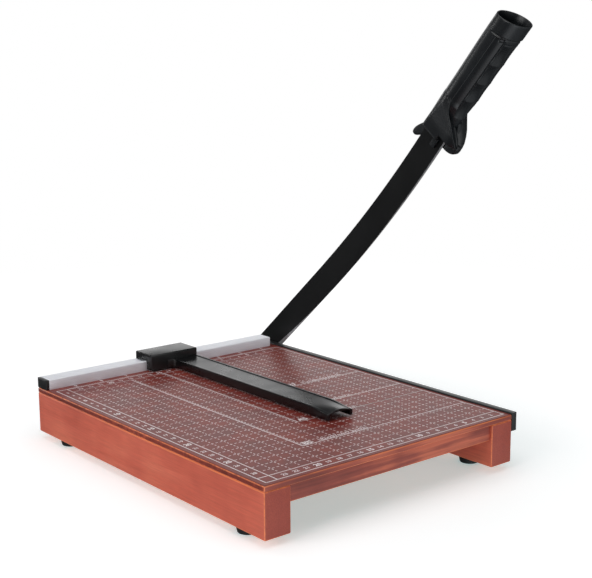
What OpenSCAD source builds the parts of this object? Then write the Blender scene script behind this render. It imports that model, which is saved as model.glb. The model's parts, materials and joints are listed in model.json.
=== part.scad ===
// Guillotine paper cutter: wooden base with a printed bed, an aluminium fence,
// a sliding paper stop and a swinging sabre blade with a hollow grip.
// +X points to the cutting side, +Y to the fence, +Z up. Z = 0 is the table.

/* [Bed] */
// Width of the bed, across the fence
board_w = 250; // [200:1:320]
// Length of the bed, along the cut
board_l = 318.5; // [260:0.5:400]
// Thickness of the top board
board_t = 4.1; // [3:0.1:8]
// Thickness of the printed sheet on the board
sheet_t = 0.4; // [0.2:0.1:0.8]
// How far the sheet stays inside the board's edges
sheet_inset = 0.8; // [0:0.1:3]

/* [Base frame] */
// Width of each side rail
rail_w = 23; // [16:0.5:35]
// Height of each side rail
rail_h = 35; // [25:0.5:60]
// Height of the two cross rails
cross_h = 13; // [10:0.5:24]
// Thickness of the two cross rails
cross_t = 18; // [12:0.5:30]
// How far the cross rails stand back from the rails' ends
cross_inset = 2; // [0:0.5:15]
// Diameter of the dowels that join the cross rails to the side rails
dowel_d = 6; // [4:0.5:8]
// Length of a dowel
dowel_l = 24; // [16:1:40]

/* [Feet] */
// Diameter of a rubber foot where it meets the rail
foot_d = 18; // [12:0.5:23]
// Height of a rubber foot
foot_h = 6; // [4:0.5:12]
// Distance from a foot's centre to the nearer end of its rail
foot_end = 34; // [15:1:60]
// Diameter of the screw that holds a foot
foot_screw_d = 3.5; // [3:0.1:4.5]

/* [Fixed blade] */
// Thickness of the fixed blade bar
bar_t = 5.4; // [4:0.1:8]
// Height of the fixed blade bar
bar_h = 15; // [12:0.5:20]
// How far the cutting edge stands above the bed
bar_proud = 1.0; // [0.4:0.1:2]
// Diameter of the screws that hold the bar
bar_screw_d = 4; // [3:0.5:5]
// Number of screws that hold the bar
bar_screws = 4; // [3:1:6]

/* [Fence] */
// Depth of the fence, along the bed
fence_d = 15.6; // [12:0.2:24]
// Height of the fence
fence_h = 8.8; // [7:0.2:14]
// Wall of the fence extrusion
fence_wall = 1.5; // [1.2:0.1:2]
// Gap between the fence's end and the board's cutting side
fence_gap = 6.4; // [4:0.2:15]
// Thickness of the end cap's plate
cap_t = 3; // [1.5:0.5:5]
// Diameter of the screws that hold the fence from below
fence_screw_d = 3; // [2.5:0.5:4]
// Number of screws that hold the fence
fence_screws = 3; // [2:1:5]

/* [Paper stop] */
// Distance from the stop's face to the cutting plane
stop_at = 105; // [50:1:180]
// Width of the stop's head, along the fence
head_w = 49.5; // [35:0.5:70]
// Height of the head's top above the bed
head_h = 15.5; // [13:0.5:24]
// Thickness of the head in front of the fence
head_front = 9.2; // [6:0.2:14]
// Thickness of the lip behind the fence
lip_t = 1.8; // [1.4:0.1:3]
// How far the lip reaches down behind the fence
lip_h = 6; // [3:0.5:8]
// Width of the stop's arm
arm_w = 26; // [18:0.5:36]
// Height of the stop's arm
arm_h = 7.6; // [6:0.2:12]
// Distance from the fence to the arm's free end
arm_reach = 224; // [150:1:280]
// Wall of the moulded stop
stop_wall = 2.2; // [1.6:0.1:3]
// Gap between the stop and the bed
stop_lift = 1.3; // [0.4:0.1:2]
// Sliding clearance between the stop and the fence
slide_fit = 0.35; // [0.3:0.05:0.6]

/* [Pivot] */
// Distance from the bed's rear end to the pivot
pivot_back = 7.8; // [7.5:0.1:14]
// Diameter of the pivot bolt
bolt_d = 6; // [5:0.5:8]
// Radial running clearance of the bolt in the bar
bolt_fit = 0.06; // [0.02:0.01:0.1]
// Diameter of the bolt's head
bolt_head_d = 13; // [11:0.5:18]
// Height of the bolt's head
bolt_head_h = 3.4; // [2.5:0.1:5]
// Outer diameter of the flat washers
washer_d = 12; // [11:0.5:14]
// Thickness of the flat washers
washer_t = 1.2; // [0.8:0.1:2]
// Length of the pivot spring under load
spring_l = 9; // [6:0.5:14]
// Wire diameter of the pivot spring
spring_wire = 1.3; // [0.8:0.1:1.6]
// Number of turns of the pivot spring
spring_turns = 4; // [3:1:6]
// Width of the lock nut across its flats
nut_af = 10; // [9:0.5:13]
// Height of the lock nut's hexagon
nut_h = 5; // [4:0.5:7]

/* [Swinging blade] */
// Angle of the blade's root above the bed in the stored pose
raise = 41.2; // [20:0.2:75]
// Width of the blade
blade_w = 25.2; // [20:0.2:34]
// Thickness of the blade
blade_t = 2.5; // [2:0.1:4]
// Gap between the swinging blade and the fixed blade
shear_gap = 0.2; // [0.1:0.05:0.3]
// Length of the blade's straight root
root_l = 125; // [80:1:160]
// How far the blade's end stays behind the bed's front when the arm is down
blade_short = 7.7; // [6:0.1:12]
// Angle through which the blade curves
curve_a = 8.7; // [4:0.1:12]
// Width of the bevel ground on the blade's outer face
bevel_w = 4.5; // [2:0.5:8]
// Length of the tang inside the grip
tang_l = 44; // [30:1:60]
// Width of the tang
tang_w = 17; // [12:0.5:20]

/* [Grip] */
// Distance from the blade's end to the grip's far end
grip_l = 124; // [100:1:150]
// Diameter of the grip
grip_d = 26.8; // [24:0.2:34]
// Diameter of the collar at the far end
collar_d = 28.6; // [26:0.2:36]
// Length of the collar
collar_l = 16; // [10:0.5:25]
// Wall of the hollow grip
grip_wall = 2.4; // [2:0.1:3.5]
// Depth of the hollow in the grip
hollow_l = 66; // [30:1:75]
// Thickness of the guard across the blade
guard_t = 14.4; // [12:0.2:20]
// How far the guard's finger rest reaches below the blade's middle
guard_drop = 26; // [20:0.5:32]
// How far the guard's back horn reaches above the blade's middle
guard_rise = 24.5; // [16:0.5:28]
// Number of finger grooves
grooves = 4; // [3:1:5]
// Pitch of the finger grooves
groove_pitch = 18.5; // [15:0.5:22]
// Depth of a finger groove
groove_depth = 1.5; // [0.5:0.1:2]
// Tilt of the grip's mouth
mouth_tilt = 14; // [0:1:20]
// Diameter of the screws that hold the tang in the grip
tang_screw_d = 4; // [3:0.5:5]

/* [Hidden] */
$fn = 48;

// Clearance of a screw's shank in a plain hole, and overlap used by cutting tools
hole_fit = 0.25;
eps = 0.01;
over = 1;

// Heights
rail_z = foot_h;
board_z = rail_z + rail_h;
sheet_z = board_z + board_t;
bed_z = sheet_z + sheet_t;

// Plan of the bed: X = 0 is its middle, Y = 0 is its middle
right_x = board_w / 2;
left_x = -board_w / 2;
rear_y = board_l / 2;
front_y = -board_l / 2;
fence_y = rear_y - fence_d;
fence_right = right_x - fence_gap;
fence_left = left_x + cap_t;
rail_mid = board_w / 2 - rail_w / 2;
foot_y = board_l / 2 - foot_end;

// Cutting plane and swinging blade
cut_x = right_x + bar_t;
blade_in = cut_x + shear_gap;
blade_out = blade_in + blade_t;
pivot_y = rear_y + pivot_back;
pivot_z = bed_z + bar_proud - bar_h / 2;
// Radius of the blade's curve
curve_r = (board_l + pivot_back - blade_short - root_l) / sin(curve_a);

// Paper stop
stop_right = cut_x - stop_at;
stop_left = stop_right - arm_w;
head_left = stop_right - head_w;
stop_z = bed_z + stop_lift;
head_z = bed_z + head_h;
saddle_z = bed_z + fence_h + slide_fit;

// Leaf spring of the paper stop: strip thickness and width, bow, tip outside the head, end inside the head
spring_strip_t = 0.5;
spring_w = 9;
spring_rise = 1;
spring_tip = 3;
spring_end = stop_right - 8;
spring_y = fence_y + fence_d / 2;

// Grip axis, in the frame of the blade's end
grip_rise = 2;
grip_droop = 2.1;

// A point of the arm's plane, given along and across the blade's end, as [y, z]
function end_point(t, v) = let(
    u = root_l + curve_r * sin(curve_a) + t * cos(curve_a) - v * sin(curve_a),
    w = curve_r * (1 - cos(curve_a)) + t * sin(curve_a) + v * cos(curve_a))
    [pivot_y - u * cos(raise) + w * sin(raise), pivot_z + u * sin(raise) + w * cos(raise)];
// The same for a point given along and across the grip's axis
function grip_point(t, v) = end_point(
    t * cos(grip_droop) + v * sin(grip_droop),
    grip_rise - t * sin(grip_droop) + v * cos(grip_droop));

// The origin stands under the middle of the whole cutter
mouth_low = grip_point(grip_l + collar_d / 2 * tan(mouth_tilt), -collar_d / 2);
span_x = [left_x, blade_out - blade_t / 2 + collar_d / 2];
span_y = [mouth_low[0], pivot_y + blade_w / 2];
origin = [(span_x[0] + span_x[1]) / 2, (span_y[0] + span_y[1]) / 2, 0];

// ---------- shared shapes ----------

// Everything is drawn around the bed's middle and then moved to the origin
module placed() {
    translate(-origin) children();
}

// A box between two corners
module span(a, b) {
    translate(a) cube(b - a);
}

// Countersunk wood screw: head on top at z = 0, pointing down
module wood_screw(d, l) {
    head_h = d * 0.5;
    rotate_extrude() polygon([[0, 0], [d, 0], [d, -0.3], [d / 2, -head_h - 0.3],
        [d / 2, -l + d], [0, -l]]);
}
// The hole that such a screw leaves
module screw_hole(d, l) {
    head_h = d * 0.5;
    rotate_extrude() polygon([[0, over], [d + hole_fit, over], [d + hole_fit, -0.3],
        [d / 2 + eps, -head_h - 0.3 - hole_fit], [d / 2 + eps, -l + d], [0, -l]]);
}
// Cross slot in a screw's head
module cross_slot(d) {
    for (a = [0, 90]) rotate([0, 0, a]) translate([-d * 0.5, -d * 0.09, -d * 0.28]) cube([d, d * 0.18, d]);
}
module cross_screw(d, l) {
    difference() {
        wood_screw(d, l);
        cross_slot(d);
    }
}

// ---------- bed and base frame ----------

module board_screw_places() {
    for (side = [-1, 1], y = [-1, 0, 1])
        translate([side * rail_mid, y * (board_l / 2 - 45), sheet_z]) children();
}
board_screw_d = 3.5;
board_screw_l = 22;

module top_board() {
    color("#9c5b45") difference() {
        span([left_x, front_y, board_z], [right_x, rear_y, sheet_z]);
        board_screw_places() screw_hole(board_screw_d, board_screw_l);
        fence_screw_places() screw_clear(fence_screw_d);
    }
}

module printed_sheet() {
    color("#8c5a55") difference() {
        span([left_x + sheet_inset, front_y + sheet_inset, sheet_z],
            [right_x - sheet_inset, rear_y - sheet_inset, bed_z]);
        fence_screw_places() screw_clear(fence_screw_d);
    }
}

module side_rail(side) {
    x = side * rail_mid;
    difference() {
        span([x - rail_w / 2, front_y, rail_z], [x + rail_w / 2, rear_y, board_z]);
        board_screw_places() screw_hole(board_screw_d, board_screw_l);
        foot_places() rotate([180, 0, 0]) cylinder(d = foot_screw_d, h = 2 * (foot_screw_l - foot_h), center = true);
        dowel_places() dowel(0.01);
        if (side > 0) bar_screw_places() screw_hole(bar_screw_d, bar_screw_l);
    }
}
module left_rail() {
    color("#b4563f") side_rail(-1);
}
module right_rail() {
    color("#b4563f") side_rail(1);
}

cross_len = board_w - 2 * rail_w;
cross_mid = board_l / 2 - cross_inset - cross_t / 2;
module cross_rail(side) {
    y = side * cross_mid;
    difference() {
        span([-cross_len / 2, y - cross_t / 2, board_z - cross_h], [cross_len / 2, y + cross_t / 2, board_z]);
        dowel_places() dowel(0.01);
        if (side > 0) fence_screw_places() screw_clear(fence_screw_d);
    }
}
module front_cross_rail() {
    color("#a5513d") cross_rail(-1);
}
module rear_cross_rail() {
    color("#a5513d") cross_rail(1);
}

module dowel_places() {
    for (sx = [-1, 1], sy = [-1, 1])
        translate([sx * cross_len / 2, sy * cross_mid, board_z - cross_h / 2]) children();
}
module dowel(grow) {
    rotate([0, 90, 0]) cylinder(d = dowel_d + 2 * grow, h = dowel_l + 2 * grow, center = true);
}
module frame_dowels() {
    color("#d9b98a") dowel_places() dowel(0);
}

module board_screws() {
    color("silver") board_screw_places() cross_screw(board_screw_d, board_screw_l);
}

// ---------- feet ----------

foot_screw_l = 18;
foot_recess = 3;
module foot_places() {
    for (sx = [-1, 1], sy = [-1, 1]) translate([sx * rail_mid, sy * foot_y, rail_z]) children();
}
module rubber_feet() {
    color("#1c1c1e") foot_places() difference() {
        rotate_extrude() polygon([[foot_screw_d / 2 + eps, 0], [foot_d / 2, 0], [foot_d / 2 - 1.4, -foot_h],
            [foot_screw_d + 0.6, -foot_h], [foot_screw_d + 0.6, -foot_h + foot_recess],
            [foot_screw_d / 2 + eps, -foot_h + foot_recess]]);
    }
}
// Pan head screw through each foot, head down in the foot's recess
module foot_screws() {
    head_h = foot_recess - 1;
    color("silver") foot_places() translate([0, 0, -foot_h + foot_recess]) rotate([180, 0, 0]) difference() {
        rotate_extrude() polygon([[0, head_h], [foot_screw_d * 0.6, head_h], [foot_screw_d, head_h * 0.35],
            [foot_screw_d, 0], [foot_screw_d / 2, 0], [foot_screw_d / 2, -foot_screw_l + foot_h + 2],
            [0, -foot_screw_l + foot_h]]);
        translate([0, 0, head_h]) cross_slot(foot_screw_d);
    }
}

// ---------- fixed blade ----------

bar_screw_l = 20;
bar_end = 24;
module bar_screw_places() {
    first = front_y + bar_end;
    last = rear_y - bar_end;
    for (i = [0 : bar_screws - 1])
        translate([cut_x, first + (last - first) * i / (bar_screws - 1), bed_z + bar_proud - bar_h * 0.62])
            rotate([0, 90, 0]) children();
}
// Flat steel bar along the bed, with a round nose behind the bed for the pivot
module fixed_blade() {
    top = bed_z + bar_proud;
    color("#2b2c2e") difference() {
        union() {
            span([right_x, front_y, top - bar_h], [cut_x, pivot_y, top]);
            translate([right_x, pivot_y, pivot_z]) rotate([0, 90, 0]) cylinder(d = bar_h, h = bar_t);
        }
        bar_screw_places() screw_hole(bar_screw_d, bar_screw_l);
        translate([right_x - over, pivot_y, pivot_z]) rotate([0, 90, 0])
            cylinder(d = bolt_d + 2 * bolt_fit, h = bar_t + 2 * over);
    }
}
module bar_screws() {
    color("#3a3a3c") bar_screw_places() cross_screw(bar_screw_d, bar_screw_l);
}

// ---------- fence ----------

fence_screw_l = board_t + sheet_t + cross_h + 4;
module fence_screw_places() {
    // clear of the dowels in the rear cross rail
    reach = cross_len / 2 - dowel_l / 2 - 2 * fence_screw_d;
    for (i = [0 : fence_screws - 1])
        translate([reach * (2 * i / (fence_screws - 1) - 1), fence_y + fence_d / 2, bed_z]) children();
}
module screw_clear(d) {
    translate([0, 0, -fence_screw_l - over]) cylinder(d = d + 2 * hole_fit, h = fence_screw_l + 2 * over);
}
// Extruded box with an open seam below and a slot between two ribs that the screws bite into
module fence_profile() {
    slot = fence_screw_d - 0.4;
    difference() {
        square([fence_d, fence_h]);
        translate([fence_wall, fence_wall]) square([fence_d / 2 - slot / 2 - 2 * fence_wall, fence_h - 2 * fence_wall]);
        translate([fence_d / 2 + slot / 2 + fence_wall, fence_wall])
            square([fence_d / 2 - slot / 2 - 2 * fence_wall, fence_h - 2 * fence_wall]);
        translate([fence_d / 2 - slot / 2, -over]) square([slot, fence_h - fence_wall + over]);
        translate([-eps, fence_h + eps]) rotate([0, 0, -45]) square([0.8, 1.6], center = true);
    }
}
module fence() {
    color("#b4b6ba") difference() {
        translate([fence_left, fence_y, bed_z]) rotate([90, 0, 90]) linear_extrude(fence_right - fence_left) fence_profile();
        fence_screw_places() translate([0, 0, -over]) cylinder(d = fence_screw_d, h = fence_h - fence_wall + over - 1);
    }
}
module fence_end_cap() {
    plug = 8;
    slack = 0.1;
    slot = fence_screw_d - 0.4;
    room = fence_d / 2 - slot / 2 - 2 * fence_wall - 2 * slack;
    color("#1c1c1e") union() {
        span([left_x, fence_y, bed_z], [fence_left, rear_y, bed_z + fence_h]);
        for (y = [fence_y + fence_wall + slack, rear_y - fence_wall - slack - room])
            span([fence_left - eps, y, bed_z + fence_wall + slack],
                [fence_left + plug, y + room, bed_z + fence_h - fence_wall - slack]);
    }
}
// Screws from under the rear cross rail up into the fence
module fence_screws() {
    color("silver") fence_screw_places() translate([0, 0, -(board_t + sheet_t + cross_h)]) rotate([180, 0, 0])
        difference() {
            rotate_extrude() polygon([[0, 2], [fence_screw_d * 0.6, 2], [fence_screw_d, 0.8], [fence_screw_d, 0],
                [fence_screw_d / 2, 0], [fence_screw_d / 2, -fence_screw_l], [0, -fence_screw_l - 1]]);
            translate([0, 0, 2]) cross_slot(fence_screw_d);
        }
}

// ---------- paper stop ----------

stop_fillet = 6;
arch_r = 13;
// Head over the fence and arm down the bed, one moulding, hollow below
module paper_stop() {
    head_y0 = fence_y - head_front;
    head_y1 = rear_y + slide_fit + lip_t;
    arm_y0 = fence_y - arm_reach;
    top_arm = stop_z + arm_h;
    color("#28282a") difference() {
        union() {
            span([head_left, head_y0, stop_z], [stop_right, head_y1, head_z]);
            span([stop_left, arm_y0, stop_z], [stop_right, head_y0 + eps, top_arm]);
            difference() {
                span([stop_left - stop_fillet, head_y0 - stop_fillet, stop_z], [stop_left + eps, head_y0 + eps, top_arm]);
                translate([stop_left - stop_fillet, head_y0 - stop_fillet, stop_z - over])
                    cylinder(r = stop_fillet, h = arm_h + 2 * over);
            }
        }
        // passage of the fence through the head
        span([head_left - over, fence_y - slide_fit, stop_z - over],
            [stop_right + over, rear_y + slide_fit, saddle_z]);
        // space below the lip
        span([head_left - over, rear_y - over, stop_z - over],
            [stop_right + over, head_y1 + over, saddle_z - lip_h]);
        // recess for the spring under the roof, open at the head's left end
        span([head_left - over, spring_y - spring_w / 2 - hole_fit, saddle_z - over],
            [spring_end + hole_fit, spring_y + spring_w / 2 + hole_fit, saddle_z + spring_rise + spring_strip_t]);
        // hollow of the arm, open at its end through an arch
        span([stop_left + stop_wall, arm_y0 + stop_wall, stop_z - over],
            [stop_right - stop_wall, head_y0 - stop_fillet, top_arm - stop_wall]);
        translate([(stop_left + stop_right) / 2, arm_y0 - over, stop_z - arch_r + arm_h - stop_wall]) rotate([-90, 0, 0])
            cylinder(r = arch_r, h = stop_wall + 2 * over);
        // hollow of the front block
        span([head_left + stop_wall, head_y0 + stop_wall, stop_z - over],
            [stop_left - stop_fillet, fence_y - slide_fit - stop_wall, head_z - stop_wall]);
    }
}
// Bowed strip of spring steel under the head's roof, with its tip just out of the head's left end
module stop_spring() {
    steps = 16;
    start = head_left - spring_tip;
    function bow(i) = spring_rise * sin(180 * i / steps);
    color("#8f9296") translate([start, spring_y + spring_w / 2, saddle_z]) rotate([90, 0, 0]) linear_extrude(spring_w)
        polygon(concat(
            [for (i = [0 : steps]) [(spring_end - start) * i / steps, bow(i)]],
            [for (i = [steps : -1 : 0]) [(spring_end - start) * i / steps, bow(i) + spring_strip_t]]));
}

// ---------- swinging blade ----------

// Arm frame: x along the blade's root, y towards its back, z inwards from the blade's outer face
module arm_frame() {
    translate([blade_out, pivot_y, pivot_z]) rotate([90 - raise, 0, 0]) rotate([0, -90, 0]) children();
}
// Frame of the blade's end: x along the blade there
module blade_end() {
    translate([root_l + curve_r * sin(curve_a), curve_r * (1 - cos(curve_a)), 0]) rotate([0, 0, curve_a]) children();
}
// Grip frame: x along the grip's axis, z = 0 in the blade's middle plane
module grip_frame() {
    blade_end() translate([0, grip_rise, blade_t / 2]) rotate([0, 0, -grip_droop]) children();
}
// Cross section of the blade as [towards the back, inwards], with the bevel on the outer face
function blade_section() = let(h = blade_w / 2)
    [[h, 0], [h, blade_t], [-h, blade_t], [-h, blade_t - 0.4], [-h + bevel_w, 0]];

module swing_blade() {
    root_r = blade_w / 2;
    color("#232426") arm_frame() difference() {
        union() {
            cylinder(r = root_r, h = blade_t, $fn = 96);
            rotate([90, 0, 90]) linear_extrude(bevel_from) square_section();
            translate([bevel_from, 0, 0]) rotate([90, 0, 90]) linear_extrude(root_l - bevel_from)
                polygon(blade_section());
            translate([root_l, curve_r, 0]) rotate([0, 0, -90]) rotate_extrude(angle = curve_a, $fn = 720)
                polygon([for (p = blade_section()) [curve_r - p[0], p[1]]]);
            blade_end() translate([-eps, -tang_w / 2, 0]) cube([tang_l, tang_w, blade_t]);
        }
        translate([0, 0, -over]) cylinder(d = bolt_d + 0.02, h = blade_t + 2 * over);
        tang_screw_places() translate([0, 0, -over]) cylinder(d = tang_screw_d + 2 * hole_fit, h = blade_t + 2 * over);
    }
}
bevel_from = 20;
module square_section() {
    translate([-blade_w / 2, 0]) square([blade_w, blade_t]);
}

// ---------- grip ----------

groove_r = 26;
groove_first = 40;
// The inner cheek starts above the fixed blade's end, and its nose just in front of the bed when the arm is down
guard_t0 = 2.2;
nose_gap = 0.6;
nose_t = blade_short + nose_gap;
module tang_screw_places() {
    blade_end() for (t = [14, 34]) translate([t, 0, 0]) children();
}
// Side outline of the guard, in the frame of the blade's end
module guard_outline() {
    back = grip_d / 2 + 1;
    front = -grip_d / 2 + 1;
    polygon([[guard_t0, back], [26, back + 0.6], [44, back], [44, front], [31, front - 3], [27, front - 6],
        [20, -guard_drop + 3], [11, -guard_drop], [nose_t + 0.5, -guard_drop + 0.8], [nose_t - 1, -20], [nose_t, -7],
        [guard_t0, -6.5]]);
}
// Outline of the longer cheek on the outer side, with the horn at its back
module outer_cheek_outline() {
    polygon([[11, -guard_drop], [3, -guard_drop + 0.9], [0, -20], [-3, -11], [-7, 4], [-11, 15],
        [-16.5, guard_rise - 4], [-14, guard_rise], [-8, guard_rise - 1],
        [4, grip_d / 2 + 4], [26, grip_d / 2 + 1], [26, -10], [20, -guard_drop + 3]]);
}
module grip() {
    half = guard_t / 2;
    blade_room = 0.05;
    color("#1e2022") difference() {
        union() {
            arm_frame() grip_frame() difference() {
                union() {
                    translate([12, 0, 0]) rotate([0, 90, 0]) cylinder(d = grip_d, h = grip_l - 12 - collar_l / 2);
                    translate([grip_l - collar_l, 0, 0]) rotate([0, 90, 0]) cylinder(d = collar_d, h = collar_l + 12);
                }
                for (i = [0 : grooves - 1]) translate([groove_first + i * groove_pitch, -grip_d / 2 - groove_r + groove_depth, 0])
                    cylinder(r = groove_r, h = grip_d + 2, center = true);
                translate([grip_l, 0, 0]) rotate([0, 0, mouth_tilt]) translate([0, -collar_d, -collar_d])
                    cube(2 * collar_d);
            }
            arm_frame() blade_end() translate([0, 0, blade_t / 2 - half]) linear_extrude(guard_t) guard_outline();
            arm_frame() blade_end() translate([0, 0, blade_t / 2 - half]) linear_extrude(half + blade_t / 2)
                outer_cheek_outline();
            // lug on the inner side that stops the arm on the fixed blade
            arm_frame() blade_end() translate([-7, -6.5, blade_t + blade_room]) cube([10, 5.5, 2]);
        }
        // slot for the blade and its tang
        arm_frame() blade_end() translate([-20, -blade_w / 2 - blade_room, -blade_room])
            cube([20, blade_w + 2 * blade_room, blade_t + 2 * blade_room]);
        arm_frame() blade_end() translate([-1, -tang_w / 2 - blade_room, -blade_room])
            cube([tang_l + 1 + blade_room, tang_w + 2 * blade_room, blade_t + 2 * blade_room]);
        // pocket for the wedge behind the tang
        arm_frame() blade_end() translate([wedge_t0, tang_w / 2, -wedge_w / 2 + blade_t / 2])
            cube([wedge_l, wedge_h, wedge_w]);
        // hollow from the far end
        arm_frame() grip_frame() translate([grip_l - hollow_l, 0, 0]) rotate([0, 90, 0])
            cylinder(d = grip_d - 2 * grip_wall, h = hollow_l + 20);
        // holes for the tang screws, from the outer side
        arm_frame() tang_screw_places() translate([0, 0, -half + blade_t / 2]) rotate([180, 0, 0])
            screw_hole(tang_screw_d, tang_screw_l);
    }
}
tang_screw_l = 10.5;
wedge_t0 = 4;
wedge_l = 26;
wedge_h = 3;
wedge_w = 6;
// Screws through the outer cheek and the tang into the inner cheek
module tang_screws() {
    color("#3a3a3c") arm_frame() tang_screw_places() translate([0, 0, -guard_t / 2 + blade_t / 2]) rotate([180, 0, 0])
        cross_screw(tang_screw_d, tang_screw_l);
}
// Nylon wedge that takes the play out of the tang
module tang_wedge() {
    gap = 0.05;
    color("#d8d8d0") arm_frame() blade_end() translate([wedge_t0 + gap, tang_w / 2 + gap, -wedge_w / 2 + blade_t / 2 + gap])
        cube([wedge_l - 2 * gap, wedge_h - 2 * gap, wedge_w - 2 * gap]);
}

// ---------- pivot ----------

// Stack along the bolt, inwards from the bar's inner face
washer_gap = 0.15;
inner_x = right_x - washer_gap;
spring_x = inner_x - washer_t;
nut_washer_x = spring_x - spring_l;
nut_x = nut_washer_x - washer_t;
insert_h = 1.4;
bolt_end_x = nut_x - nut_h - insert_h - 1.5;
module on_pivot(x) {
    translate([x, pivot_y, pivot_z]) rotate([0, 90, 0]) children();
}
module flat_washer() {
    difference() {
        cylinder(d = washer_d, h = washer_t);
        translate([0, 0, -over]) cylinder(d = bolt_d + 2 * hole_fit, h = washer_t + 2 * over);
    }
}
module pivot_bolt() {
    head_x = blade_out + washer_t;
    color("#a8abaf") union() {
        on_pivot(bolt_end_x) cylinder(d = bolt_d, h = head_x - bolt_end_x + eps);
        difference() {
            on_pivot(head_x) rotate_extrude() polygon([[0, 0], [bolt_head_d / 2, 0], [bolt_head_d / 2, bolt_head_h * 0.4],
                [bolt_head_d / 2 - 1.6, bolt_head_h * 0.85], [bolt_head_d / 2 - 3.2, bolt_head_h], [0, bolt_head_h]]);
            on_pivot(head_x + bolt_head_h - 2) cylinder(d = 4 / cos(30), h = 4, $fn = 6);
        }
    }
}
module head_washer() {
    color("#c9cbce") on_pivot(blade_out) flat_washer();
}
module inner_washer() {
    color("#c9cbce") on_pivot(inner_x - washer_t) flat_washer();
}
module nut_washer() {
    color("#c9cbce") on_pivot(nut_washer_x - washer_t) flat_washer();
}
// Compression spring, drawn as stacked rings joined by a seam along one side
module pivot_spring() {
    coil_r = bolt_d / 2 + 0.5 + spring_wire / 2;
    pitch = (spring_l - spring_wire) / (spring_turns);
    steps = 18;
    turn = 360 / steps;
    sides = 8;
    count = spring_turns * steps;
    ring = [for (k = [0 : sides - 1]) [spring_wire / 2 * cos(360 * k / sides), spring_wire / 2 * sin(360 * k / sides)]];
    pts = [for (i = [0 : count], p = ring)
        [(coil_r + p[0]) * cos(i * turn), (coil_r + p[0]) * sin(i * turn), spring_wire / 2 + pitch * i / steps + p[1]]];
    walls = [for (i = [0 : count - 1], k = [0 : sides - 1]) let(m = (k + 1) % sides)
        [i * sides + k, i * sides + m, (i + 1) * sides + m, (i + 1) * sides + k]];
    caps = [[for (k = [sides - 1 : -1 : 0]) k], [for (k = [0 : sides - 1]) count * sides + k]];
    color("#9a9da1") on_pivot(nut_washer_x) polyhedron(pts, concat(walls, caps), convexity = 8);
}
module lock_nut() {
    bore = bolt_d + 0.02;
    color("#b9bcc0") difference() {
        union() {
            on_pivot(nut_x - nut_h) cylinder(d = nut_af / cos(30), h = nut_h, $fn = 6);
            on_pivot(nut_x - nut_h - insert_h) cylinder(d = nut_af * 0.9, h = insert_h + eps);
        }
        on_pivot(nut_x - nut_h - insert_h - over) cylinder(d = bore, h = nut_h + insert_h + 2 * over);
        on_pivot(nut_x - nut_h - insert_h - over) cylinder(d = nut_af * 0.8, h = insert_h + over);
    }
}
module nut_insert() {
    color("#3d6fb5") difference() {
        on_pivot(nut_x - nut_h - insert_h) cylinder(d = nut_af * 0.8 - 0.02, h = insert_h);
        on_pivot(nut_x - nut_h - insert_h - over) cylinder(d = bolt_d + 0.02, h = insert_h + 2 * over);
    }
}

placed() top_board();
placed() printed_sheet();
placed() left_rail();
placed() right_rail();
placed() front_cross_rail();
placed() rear_cross_rail();
placed() frame_dowels();
placed() board_screws();
placed() rubber_feet();
placed() foot_screws();
placed() fixed_blade();
placed() bar_screws();
placed() fence();
placed() fence_end_cap();
placed() fence_screws();
placed() paper_stop();
placed() stop_spring();
placed() swing_blade();
placed() grip();
placed() tang_screws();
placed() tang_wedge();
placed() pivot_bolt();
placed() head_washer();
placed() inner_washer();
placed() pivot_spring();
placed() nut_washer();
placed() lock_nut();
placed() nut_insert();
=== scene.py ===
# %% [markdown]
# # A guillotine paper cutter
# A wooden base with a printed bed, an aluminium fence, a sliding paper stop and a long curved blade with a
# moulded grip. The CAD frame already holds every part at its real size and place, and what moves. Here each
# visible part gets its finished surface and its material. All lengths below are in metres; MM makes them
# readable.

# %% Load the frame
import json
import math

import bmesh
import bpy
import numpy as np
from mathutils import Matrix, Vector


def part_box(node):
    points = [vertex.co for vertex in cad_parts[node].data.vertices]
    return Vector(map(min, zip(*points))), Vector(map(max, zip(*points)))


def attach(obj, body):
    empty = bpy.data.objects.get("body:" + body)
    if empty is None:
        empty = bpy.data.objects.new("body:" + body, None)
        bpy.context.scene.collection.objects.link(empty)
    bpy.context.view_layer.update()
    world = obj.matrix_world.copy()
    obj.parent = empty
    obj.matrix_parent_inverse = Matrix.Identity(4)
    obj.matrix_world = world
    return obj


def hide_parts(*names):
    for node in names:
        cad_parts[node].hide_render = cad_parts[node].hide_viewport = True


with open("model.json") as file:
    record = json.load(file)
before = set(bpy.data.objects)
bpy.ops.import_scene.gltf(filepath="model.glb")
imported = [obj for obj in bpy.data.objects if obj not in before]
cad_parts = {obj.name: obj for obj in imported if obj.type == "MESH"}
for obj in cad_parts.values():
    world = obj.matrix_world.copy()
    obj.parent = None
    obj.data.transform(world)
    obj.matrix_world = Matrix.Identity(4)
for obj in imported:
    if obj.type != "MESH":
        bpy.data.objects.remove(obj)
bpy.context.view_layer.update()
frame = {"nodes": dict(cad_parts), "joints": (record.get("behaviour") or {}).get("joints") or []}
MM = 0.001
NODES = frame["nodes"]

# %% [markdown]
# ## Camera
# A lens of about 74 mm on a full-frame sensor, standing to the left of the user and a little above the bed.
# It looks along an azimuth of 39 degrees and 11 degrees down, so both the long side of the base and its
# open front show.

# %% Camera
CAMERA_AT = (-605.7 * MM, -777.7 * MM, 332.9 * MM)
AZIMUTH, PITCH, ROLL, LENS = 39.376, -11.278, -0.329, 73.755

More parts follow.
